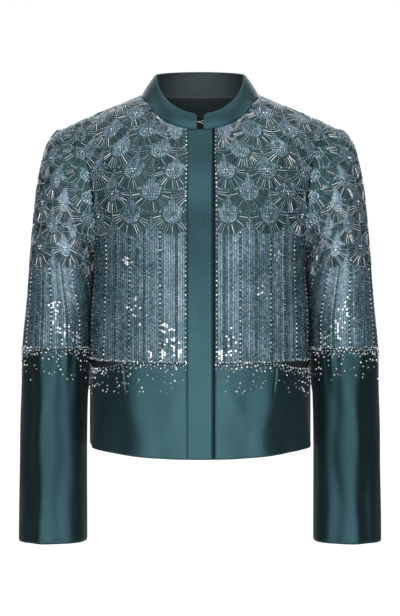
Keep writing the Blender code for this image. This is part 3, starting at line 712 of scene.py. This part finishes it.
def sew_fans(work, u_range, foot, rows, middle):
    """Staggered rows of fans: each an edge of seed beads, a fringe of bugles, an arc of crystals and sequins
    in rings. A fan is hidden where one of the row above covers it."""
    for row in range(rows):
        centre_v = foot + FAN_RADIUS + row * FAN_RISE
        shift = middle + (FAN_RADIUS if row % 2 else 0.0)
        first = math.floor((u_range[0] - shift) / (2 * FAN_RADIUS))
        last = math.ceil((u_range[1] - shift) / (2 * FAN_RADIUS))
        centres = shift + 2 * FAN_RADIUS * np.arange(first, last + 1)

        def ring(radius, turns):
            """Places at one distance from each centre, turned from straight down, where no higher row is."""
            u = (centres[:, None] + radius * np.sin(turns)).ravel()
            turn = np.tile(turns, len(centres))
            v = centre_v - radius * np.cos(turn)
            seen = fan_cover(u, v, rows, foot, middle)[0] <= row
            return u[seen], v[seen], turn[seen]

        def turns_at(radius, spacing, reach):
            count = max(2, int(2 * reach * radius / spacing))
            return np.linspace(-reach, reach, count)

        u, v, turn = ring(FAN_RADIUS - 0.0007, turns_at(FAN_RADIUS, 0.0019, QUARTER))
        work.sew("seed", u, v, (0.00085,) * 3, lift=0.0005)
        u, v, turn = ring((TICK_INNER + TICK_OUTER) / 2, turns_at(TICK_OUTER, TICK_SPACING, QUARTER * 0.96))
        lengths = (TICK_OUTER - TICK_INNER) * work.random.uniform(0.86, 1.04, len(u))
        size = stack(TICK_RADIUS, lengths, TICK_RADIUS)
        turn = turn + work.random.normal(0, 0.05, len(u))
        # A bugle stays only where both of its ends lie on the cloth.
        whole = np.ones(len(u), bool)
        for end in (-0.5, 0.5):
            reach = end * lengths
            whole &= carried(work.cloth, u + reach * np.sin(turn), v - reach * np.cos(turn))[4] > 0.001
        u, v, turn, size = u[whole], v[whole], turn[whole], size[whole]
        work.sew("bugle", u, v, size, lift=0.0009, heading=turn, tilt=0.03, roll=0.5)
        u, v, turn = ring(TICK_INNER - 0.0013, turns_at(TICK_INNER, 0.0036, QUARTER * 0.9))
        work.sew("seed", u, v, (0.0010,) * 3, lift=0.0004, tilt=0.05)
        for radius in np.arange(SEQUIN_LIMIT - 0.0016, 0.0, -ROW_PITCH):
            u, v, turn = ring(radius, turns_at(radius, SEQUIN_STEP, QUARTER))
            tone_and_glint = np.clip(0.55 + work.random.normal(0, 0.15, len(u)), 0, TOP_TONE)
            work.sew("sequin", u, v, (SEQUIN_RADIUS,) * 3, lift=0.0006, tilt=0.1, lean=0.1, tone_and_glint=tone_and_glint)
        u = (centres[:, None] + np.array([-0.0022, 0.0022, 0.0])[None]).ravel()
        v = np.tile(centre_v + np.array([0.0006, 0.0006, -0.0030]), len(centres))
        seen = fan_cover(u, v, rows, foot, middle)[0] <= row
        work.sew("crystal", u[seen], v[seen], (0.0015, 0.0015, 0.0014), lift=0.0007)


def sew_border(work, u_range, reach, crowd, mouth):
    """Crystals crowded along the seam, and fewer and fewer of them scattered down over the satin.

    mouth gives how far the satin's edge hangs below the seam: nothing is sewn over that gap.
    """
    def sizes(count):
        return work.random.uniform(0.0013, 0.0018, (count, 1)) * np.array([1, 1, 0.95])

    width = u_range[1] - u_range[0]
    for v, spacing in BORDER_LINES:
        u = np.arange(u_range[0], u_range[1], spacing)
        u = u + work.random.normal(0, 0.0006, len(u))
        v = v + work.random.normal(0, 0.0008, len(u)) - (v < 0) * mouth(u)
        work.sew("crystal", u, v, sizes(len(u)), lift=0.0004, tilt=0.12, margin=0.0)
    tries = int(width * crowd)
    u = u_range[0] + width * work.random.random(tries)
    v = -0.007 - reach * work.random.random(tries) ** 1.8
    spaced = [0]
    order = np.argsort(-v)
    u, v = u[order], v[order]
    for k in range(1, tries):
        if (np.hypot(u[spaced] - u[k], v[spaced] - v[k]) > BORDER_CLEARANCE).all():
            spaced.append(k)
    u, v = u[spaced], v[spaced]
    work.sew("crystal", u, v - mouth(u), sizes(len(u)), lift=0.0003, tilt=0.15, margin=0.0)


def bead(name, side, cloth, seed, layout, u_range, border_range, glints, mouth=lambda u: 0 * u, edge=None):
    """Sews a panel's rows, fans and border, and a line of crystals beside its front edge if it has one."""
    foot, rows, middle, reach, crowd = LAYOUTS[layout]
    work = Beadwork(cloth, seed)
    sew_rows(work, u_range, foot, rows, middle, GLINTS[glints])
    sew_fans(work, (min(FAN_START, u_range[0]), u_range[1]), foot, rows, middle)
    sew_border(work, border_range, reach, crowd, mouth)
    if edge is not None:
        work.sew("crystal", edge, np.arange(0.004, 0.345, 0.0066), (0.0016, 0.0016, 0.0014), lift=0.0008,
                 margin=-0.001)
    work.join(name, side)


# Materials.
def linear(colour):
    """An sRGB hex colour as the linear red, green, blue and alpha that the shader takes."""
    parts = [int(colour[k : k + 2], 16) / 255 for k in (1, 3, 5)]
    return tuple(p / 12.92 if p <= 0.04045 else ((p + 0.055) / 1.055) ** 2.4 for p in parts) + (1.0,)


def add_node(tree, kind, inputs=None, **settings):
    """Adds a node with its settings, and sets each input or links it to another node's output."""
    made = tree.nodes.new(kind)
    for name, value in settings.items():
        setattr(made, name, value)
    for name, value in (inputs or {}).items():
        if isinstance(value, bpy.types.NodeSocket):
            tree.links.new(value, made.inputs[name])
        else:
            made.inputs[name].default_value = value
    return made


def new_material(name, **sockets):
    """A material with one Principled shader whose sockets are set, and its tree."""
    made = bpy.data.materials.new(name)
    made.use_nodes = True
    shader = made.node_tree.nodes["Principled BSDF"]
    for socket, value in sockets.items():
        shader.inputs[socket.replace("_", " ")].default_value = value
    return made, made.node_tree, shader


def dress(tree, shader, factor, stops, height=None, relief=0.0, depth=0.0003):
    """Colours a shader by a factor, blended between stops, and raises its surface with a height."""
    colours = add_node(tree, "ShaderNodeValToRGB", {"Fac": factor})
    points = colours.color_ramp.elements
    while len(points) < len(stops):
        points.new(0.5)
    for point, (share, colour) in zip(points, stops):
        point.position, point.color = share, linear(colour)
    tree.links.new(colours.outputs["Color"], shader.inputs["Base Color"])
    if height is not None:
        bump = add_node(tree, "ShaderNodeBump", {"Height": height, "Strength": relief, "Distance": depth})
        tree.links.new(bump.outputs[0], shader.inputs["Normal"])


def stretched(tree, across, along):
    """The cloth's own coordinates, drawn out along the grain: cycles for each metre across and along."""
    cloth = add_node(tree, "ShaderNodeUVMap", uv_map="cloth")
    inputs = {"Vector": cloth.outputs["UV"], "Scale": (across, along, 1.0)}
    return add_node(tree, "ShaderNodeMapping", inputs).outputs["Vector"]


def threads(tree, across, along, detail=2.0):
    """Uneven threads, as noise that is drawn out along the grain."""
    place = stretched(tree, across, along)
    uneven = add_node(tree, "ShaderNodeTexNoise", {"Vector": place, "Scale": 1.0, "Detail": detail})
    return uneven.outputs["Fac"]


def duchesse_satin(name, stops):
    """Silk duchesse satin: a heavy warp-faced weave whose floating threads shine in one broad soft band.

    Its threads are 0.1 mm apart, too fine to show, so the warp is drawn as streaks about 0.7 mm wide.
    """
    made, tree, shader = new_material(name, Metallic=0.88, Sheen_Weight=0.10, Sheen_Roughness=0.45)
    warp, weft, broad = threads(tree, 1400.0, 22.0, 3.0), threads(tree, 60.0, 900.0), threads(tree, 16.0, 9.0)
    weave = add_node(tree, "ShaderNodeMath", {0: warp, 1: weft}, operation="ADD").outputs[0]
    mixed = add_node(tree, "ShaderNodeMath", {0: weave, 1: broad}, operation="ADD").outputs[0]
    share = add_node(tree, "ShaderNodeMapRange", {"Value": mixed, "From Min": 1.1, "From Max": 1.9})
    rough = add_node(tree, "ShaderNodeMapRange",
                     {"Value": weave, "From Min": 0.7, "From Max": 1.3, "To Min": 0.29, "To Max": 0.35})
    tree.links.new(rough.outputs[0], shader.inputs["Roughness"])
    dress(tree, shader, share.outputs[0], stops, weave, 0.05)
    return made


def beaded_ground():
    """The satin under the beads: dark teal, shaded by what is sewn on it, with the thread's little pits."""
    made, tree, shader = new_material("beaded_ground", Metallic=0.5, Roughness=0.42)
    place = stretched(tree, 300.0, 330.0)
    pits = add_node(tree, "ShaderNodeTexVoronoi", {"Vector": place, "Scale": 1.0}).outputs["Distance"]
    dress(tree, shader, pits, [(0.0, "#2d5c62"), (0.6, "#20484d"), (1.0, "#122b2f")], pits, 0.5, 0.0006)
    return made


def dull_cloth(name, dark, light, grain, relief, **sockets):
    """A cloth without shine, whose uneven threads vary between two colours."""
    made, tree, shader = new_material(name, **sockets)
    weave = threads(tree, *grain)
    dress(tree, shader, weave, [(0.3, dark), (0.7, light)], weave, relief)
    return made


def sewn_bead(name, stops, rough_low, rough_high, **sockets):
    """A bead's finish: colour and gloss follow its own value, which also holds painted glints."""
    made, tree, shader = new_material(name, **sockets)
    tone_and_glint = add_node(tree, "ShaderNodeAttribute", attribute_type="GEOMETRY", attribute_name="tone_and_glint")
    tone_and_glint = tone_and_glint.outputs["Fac"]
    rough = add_node(tree, "ShaderNodeMapRange", {"Value": tone_and_glint, "To Min": rough_low, "To Max": rough_high})
    tree.links.new(rough.outputs[0], shader.inputs["Roughness"])
    dress(tree, shader, tone_and_glint, stops)
    return made


def steel_wire():
    """Drawn and polished steel, with the faint lines of drawing along it."""
    made, tree, shader = new_material("steel_wire", Metallic=1.0, Roughness=0.22)
    place = add_node(tree, "ShaderNodeTexCoord").outputs["Object"]
    marks = add_node(tree, "ShaderNodeTexNoise", {"Vector": place, "Scale": 900.0, "Detail": 2.0})
    dress(tree, shader, marks.outputs["Fac"], [(0.3, "#9aa0a4"), (0.7, "#d4d8da")])
    return made


SATIN = duchesse_satin("duchesse_satin", [(0.0, "#2d4c53"), (0.5, "#325158"), (1.0, "#395a61")])
# A darker copy of the same satin for the lower sleeves: painted shade, for the sleeves' darker look under the
# same lamps.
SLEEVE_SHADE_SATIN = duchesse_satin("duchesse_satin_painted_shade",
                             [(0.0, "#243f44"), (0.5, "#28444a"), (1.0, "#2e4c52")])
# The wrong side of the satin, where its dull weft shows: flat and warm beside the right side. Its weft
# threads are 0.2 mm apart, drawn as streaks about 1 mm wide.
INSIDE = dull_cloth("satin_wrong_side", "#2b383b", "#354447", (40.0, 1000.0), 0.15, Roughness=0.55,
                    Metallic=0.15)
GROUND = beaded_ground()
# Plain-woven facings, drawn with a 1 mm check for their 0.3 mm threads: matt, and nearly black in the shade.
CHECK = (900.0, 900.0, 3.0)
FACING = dull_cloth("facing_cloth", "#182a2e", "#283c40", CHECK, 0.3, Roughness=0.75)
# A darker copy of the facing for the pockets' insides: painted shade, for the deep shadow in the pocket
# mouths.
POCKET_SHADE_CLOTH = dull_cloth("pocket_painted_shade", "#0b1214", "#12191c", CHECK, 0.3, Roughness=0.75)
# The underlap is satin, but it gets a dark dull cloth: painted shade for the groove under the placket's free
# edge.
UNDERLAP_SHADE_CLOTH = dull_cloth("underlap_painted_shade", "#0a161a", "#142429", CHECK, 0.3, Roughness=0.75,
                            Specular_IOR_Level=0.15)
FINISHES = {
    # Lacquered plastic sequins: blue-grey mirrors a little clouded; at the top value a painted glint, near
    # white.
    "sequin": sewn_bead(
        "lacquered_sequin",
        [(0.0, "#314b58"), (0.35, "#5c7886"), (0.7, "#8299a6"), (0.92, "#a0b7c2"), (1.0, "#f4fbff")],
        0.48, 0.26, Metallic=0.45, Coat_Weight=0.3),
    # Foiled glass crystals with cut facets, grey to white at random: painted glint and painted shade, as
    # facets turn.
    "crystal": sewn_bead("foiled_crystal", [(0.0, "#6a777c"), (0.5, "#b2bdc2"), (1.0, "#ffffff")],
                         0.16, 0.08, Metallic=0.65),
    # Small silver-lined glass seed beads.
    "seed": sewn_bead("silver_lined_seed", [(0.0, "#5c6e74"), (0.6, "#8fa0a5"), (1.0, "#dfe8ea")],
                      0.34, 0.20, Metallic=0.45),
    # Silver-lined glass tubes, each a thin bright line.
    "bugle": sewn_bead("silver_lined_bugle", [(0.0, "#36444a"), (0.6, "#82929a"), (1.0, "#ecf2f4")],
                       0.34, 0.20, Metallic=0.5),
}
STEEL = steel_wire()

# The cloth.
CLOTHS = {
    #               thickness      finish          rim             slot
    "beaded":      (BEADED_CLOTH,  GROUND,         FACING,         "beaded_satin"),
    "satin":       (SATIN_CLOTH,   SATIN,          SATIN,          "teal_satin"),
    "shaded_satin": (SATIN_CLOTH,   SLEEVE_SHADE_SATIN,    SLEEVE_SHADE_SATIN,    "teal_satin"),
    "pocket":      (FACING_CLOTH,  POCKET_SHADE_CLOTH,   POCKET_SHADE_CLOTH,   "dark_facing"),
    "facing":      (FACING_CLOTH,  FACING,         FACING,         "dark_facing"),
    "placket":     (PLACKET_CLOTH, SATIN,          SATIN,          "teal_satin"),
    "underlap":    (SATIN_CLOTH,   UNDERLAP_SHADE_CLOTH, UNDERLAP_SHADE_CLOTH, "teal_satin"),
    "collar":      (COLLAR_CLOTH,  SATIN,          INSIDE,         "teal_satin"),
}
UNDER_BEADS = BEADED_CLOTH + SEAM_GAP
BAND_HEIGHT = BODY_SECTIONS["band_seam"][1] - BODY_SECTIONS["hem"][1]
upper_rows = np.concatenate([
    np.linspace(BAND_SEAM, UNDERARM, 50)[:-1],
    armhole_level(np.linspace(math.pi, 0, 80)),
])
upper_rows = np.interp(edged(124, 0.38), np.linspace(0, 1, len(upper_rows)), upper_rows)
band_rows = HEM + (BAND_SEAM - HEM) * edged(40, 0.126)


def hang(name, node, cloth, points, flat, area=None, held="hung", rests_on=(), side=1, **edges):
    """A sheet that stands for its solid: a shell with finishes for its outer face, its inner face and its
    rim. Its cut without seam allowances, flat width and length, and area are given but not used."""
    thickness, finish, rim, slot = CLOTHS[cloth]
    piece = cloth_shell(name, mirrored(points, side), thickness, outward=side, **edges)
    for material in (finish, INSIDE, rim):
        piece.data.materials.append(material)
    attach(piece, "root")
    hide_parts(node)


def pocket_sag(angles):
    """How far the band's top edge hangs open below the seam, along the pocket."""
    start = NECK_ANGLE + (QUARTER - NECK_ANGLE) * POCKET_START_SHARE
    share = np.clip((angles - start) / (QUARTER - start), 0.0, 1.0)
    return POCKET_SAG * np.sin(math.pi * share**POCKET_SLANT) ** POCKET_POWER


def pleat(points):
    """The short standing pleat at the inner end of each pocket: a narrow ridge 25 mm long beside a groove."""
    x, down = points[..., 0], PLEAT_TOP - points[..., 2]
    middle = PLEAT_X - PLEAT_LEAN * down
    begun = smooth_step(down / 0.004)
    ridge = 0.0005 * crest(x, middle + PLEAT_HALF, 0.0020) * begun * smooth_step((0.032 - down) / 0.012)
    groove = 0.0012 * crest(x, middle - PLEAT_HALF, 0.0015) * begun * smooth_step((0.05 - down) / 0.04)
    return ridge - groove


def front_grid(rows, edge_x, shares):
    inner, outer = angle_at_x(edge_x, rows), armhole_angle(rows)
    return inner[:, None] + (outer - inner)[:, None] * shares


def back_grid(rows, columns):
    outer = armhole_angle(rows, back=True)[:, None]
    return outer + (2 * math.pi - 2 * outer) * edged(columns, 0.40)


FRONTS = (("right", -1, -PLACKET_X[0]), ("left", 1, LEFT_FRONT_EDGE_X))
for word, side, edge_x in FRONTS:
    angles, levels = front_grid(upper_rows, edge_x, edged(60, 0.19)), upper_rows[:, None]
    hang(f"{word}_front_beaded", f"front_{word}_upper", "beaded", body_face(angles, levels, side),
         (0.243, 0.444), 0.0700, side=side, normals=mirrored(torso_normal(angles, levels), side))

    shares = np.unique(np.concatenate([edged(90, 0.21), np.linspace(0.36, 0.42, 40)]))
    angles = front_grid(band_rows, edge_x, shares)
    levels = band_rows[:, None] * (1 - pocket_sag(angles) / BAND_HEIGHT)
    points = body_face(angles, levels, side)
    points = points + pleat(points)[..., None] * torso_normal(angles, levels)
    hang(f"{word}_front_band", f"front_{word}_band", "satin", points, (0.213, 0.133), 0.0267, side=side)

    start = NECK_ANGLE + (QUARTER - NECK_ANGLE) * (POCKET_START_SHARE - 0.09)
    angles = np.linspace(start, QUARTER * 0.96, 40)[None]
    levels = np.linspace(*POCKET_FACING_LEVELS, 12)[:, None]
    hang(f"{word}_pocket_facing", f"pocket_{word}", "pocket", body_face(angles, levels, side),
         (0.121, 0.053), None, "stretched", [f"{word}_front_beaded"], side, roll=0.0, below=UNDER_BEADS)

    turns = np.linspace(0, 2 * math.pi, 145)[:-1]
    rings = SLEEVE_SEAM_RING * edged(96, 0.30)[:, None]
    hang(f"{word}_sleeve_beaded", f"sleeve_{word}_upper", "beaded", sleeve_face(turns, rings, side),
         (0.385, 0.351), 0.0960, side=side, tube=True)
    turns = np.linspace(0, 2 * math.pi, 181)[:-1]
    rings = SLEEVE_SEAM_RING + (SLEEVE_HEM_RING - SLEEVE_SEAM_RING) * edged(66, 0.28)[:, None]
    hang(f"{word}_sleeve_satin", f"sleeve_{word}_lower", "shaded_satin", sleeve_face(turns, rings, side),
         (0.338, 0.280), 0.0894, side=side, tube=True)

angles, levels = back_grid(upper_rows, 124), upper_rows[:, None]
hang("back_beaded", "back_upper", "beaded", back_face(angles, levels), (0.466, 0.444), 0.1575,
     normals=torso_normal(angles, levels))
hang("back_satin_band", "back_band", "satin", back_face(back_grid(band_rows, 150), band_rows[:, None]),
     (0.439, 0.126))
angles = np.linspace(math.pi - NECK_ANGLE, math.pi + NECK_ANGLE, 48)[None]
levels = np.linspace(armhole_level(0.46 * math.pi), TOP, 24)[:, None]
hang("neck_facing_inside", "back_neck_facing", "facing", back_face(angles, levels), (0.218, 0.104), 0.0137,
     "stretched", ["back_beaded"], roll=0.0, below=UNDER_BEADS)

strip_rows = np.concatenate([band_rows, upper_rows[1:]])
for name, (start, end), below, flat_width, rests_on in (
    ("placket", PLACKET_X, 0.0, 0.038, ["left_front_beaded"]),
    ("underlap", UNDERLAP_X, UNDER_BEADS, 0.043, []),
):
    places = start + (end - start) * edged(8, end - start)
    angles = np.stack([angle_at_x(x, strip_rows) for x in places], axis=1)
    hang(name, f"front_{name}", name, body_face(angles, strip_rows[:, None]), (flat_width, 0.477),
         rests_on=rests_on, below=below)

end = math.asin(COLLAR_GAP / 2 / NECK_HALF_WIDTH)
turns = end + (2 * math.pi - 2 * end) * edged(146, 0.45)
hang("stand_collar_band", "stand_collar", "collar", collar(turns[None], edged(10, 0.036)[:, None]),
     (0.485, 0.039), 0.0148, "stretched", ["placket"], roll=0.0003)

for node in ("collar_hook", "collar_eye"):
    for material_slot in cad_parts[node].material_slots:
        material_slot.material = STEEL


# The beadwork. A room function gives the distance from each place to the nearest edge of its cloth.
def front_room(edge_x):
    def room(angle, level, points):
        to_armhole = (armhole_angle(level) - angle) * 0.15 + 0.0013
        return np.minimum(np.minimum(to_armhole, points[..., 0] - edge_x), (TOP - level) * 0.090)

    return room


def back_room(angle, level, points):
    to_armhole = (math.pi - armhole_angle(level, back=True) - angle) * 0.15 + 0.0013
    return np.minimum(to_armhole, (TOP - level) * 0.080)


def sleeve_room(turn, rise, points):
    to_inner_edge = (math.pi - np.abs(turn)) * 0.06 + 0.0006
    return np.minimum((SLEEVE_SEAM_RING - rise) * 0.0080 + 0.0009, to_inner_edge)


body_levels = np.linspace(BAND_SEAM, TOP - 0.005, 200)
body_levels = np.concatenate([np.linspace(0.55, BAND_SEAM, 30)[:-1], body_levels])
body_angles = np.linspace(0.0, 100, 260) / 100 * (QUARTER + 0.02)
seam_u = travelled(body_face(body_angles[None], np.full((1, 260), float(BAND_SEAM))), 1)[0]


def mouth_at(u):
    return np.interp(u, seam_u, pocket_sag(body_angles))


for (word, side, edge_x), seed in zip(FRONTS, (11, 23)):
    cloth = chart(lambda angle, level: body_face(angle, level, side), body_angles, body_levels, 0.0,
                  BAND_SEAM, front_room(edge_x))
    bead(f"{word}_front_beadwork", side, cloth, seed, "front", (edge_x + 0.0045, 0.270),
         (edge_x + 0.001, 0.235), word, mouth_at, edge_x + 0.0018)
    cloth = chart(lambda turn, rise: sleeve_face(-turn, SLEEVE_SEAM_RING - rise, side),
                  np.linspace(-math.pi, math.pi, 400), np.linspace(-0.7, SLEEVE_SEAM_RING, 240), 0.0, 0.0,
                  sleeve_room)
    bead(f"{word}_sleeve_beadwork", side, cloth, seed + 100, "sleeve", (-0.215, 0.215), (-0.185, 0.185),
         "sleeve")

for word, side, seed in (("right", 1, 31), ("left", -1, 43)):
    cloth = chart(lambda angle, level: mirrored(back_face(math.pi + side * angle, level), side), body_angles,
                  body_levels, 0.0, BAND_SEAM, back_room)
    bead(f"{word}_back_beadwork", side, cloth, seed, "back", (0.0, 0.270), (0.001, 0.225), "back")

# The studio: soft boxes that face the jacket, by degrees from the front, metres and watts, and a pale floor.
SOFT_BOXES = {
    #                 azimuth  height  distance  width  tall  power
    "middle_box":     (0,      -0.75,  2.6,      1.9,   1.7,  7),
    "right_box_19":   (-19,    -0.75,  2.6,      1.75,  1.7,  14),
    "left_box_19":    (19,     -0.75,  2.6,      1.75,  1.7,  14),
    "right_box_44":   (-44,    -0.75,  2.6,      0.9,   1.7,  4),
    "left_box_44":    (44,     -0.75,  2.6,      0.9,   1.7,  4),
    "high_front_box": (0,      1.25,   2.2,      4.0,   1.4,  30),
    "overhead_box":   (0,      2.3,    0.1,      3.0,   3.0,  34),
    "back_left_box":  (-155,   1.45,   2.4,      2.4,   2.0,  22),
    "back_right_box": (155,    1.45,   2.4,      2.4,   2.0,  22),
    "high_left_box":  (78,     1.5,    2.2,      1.4,   1.2,  7),
    "high_right_box": (-78,    1.5,    2.2,      1.4,   1.2,  7),
}
for name, (azimuth, height, distance, width, tall, power) in SOFT_BOXES.items():
    turn = math.radians(azimuth)
    lamp = bpy.data.lights.new(name, "AREA")
    lamp.shape, lamp.size, lamp.size_y, lamp.energy = "RECTANGLE", width, tall, power
    box = added(name, lamp)
    box.location = (distance * math.sin(turn), -distance * math.cos(turn), height)
    aim = Vector((0, 0, -0.32)) - box.location
    box.rotation_euler = aim.to_track_quat("-Z", "Y").to_euler()

world = bpy.data.worlds.new("studio")
world.use_nodes = True
tree = world.node_tree
background = tree.nodes["Background"]
path = add_node(tree, "ShaderNodeLightPath")
strength = add_node(tree, "ShaderNodeMapRange",
                    {"Value": path.outputs["Is Camera Ray"], "To Min": 0.07, "To Max": 1.0})
background.inputs["Color"].default_value = linear("#ffffff")
tree.links.new(strength.outputs[0], background.inputs["Strength"])
bpy.context.scene.world = world

floor_mesh = bpy.data.meshes.new("studio_floor")
reach, floor_z = 40.0, -1.46
corners = [(x * reach, y * reach, floor_z) for x, y in ((-1, -1), (1, -1), (1, 1), (-1, 1))]
floor_mesh.from_pydata(corners, [], [(0, 1, 2, 3)])
floor = added("studio_floor", floor_mesh)
paint, tree, shader = new_material("pale_floor", Roughness=0.8, Emission_Color=linear("#ffffff"))
speck = add_node(tree, "ShaderNodeTexNoise", {"Scale": 60.0})
dress(tree, shader, speck.outputs["Fac"], [(0.3, "#f4f4f4"), (0.7, "#ffffff")])
seen = add_node(tree, "ShaderNodeLightPath")
tree.links.new(seen.outputs["Is Camera Ray"], shader.inputs["Emission Strength"])
floor_mesh.materials.append(paint)

# The camera stands 2.2 m in front, level with the jacket's middle, as for the photograph.
lens = bpy.data.cameras.new("front_camera")
lens.sensor_width, lens.lens = 36.0, 87.46
camera = added("front_camera", lens)
camera.location = (-0.0003, -2.2, -0.3128)
camera.rotation_euler = (QUARTER, 0.0, 0.0)
bpy.context.scene.camera = camera
bpy.context.scene.view_settings.view_transform = "Standard"
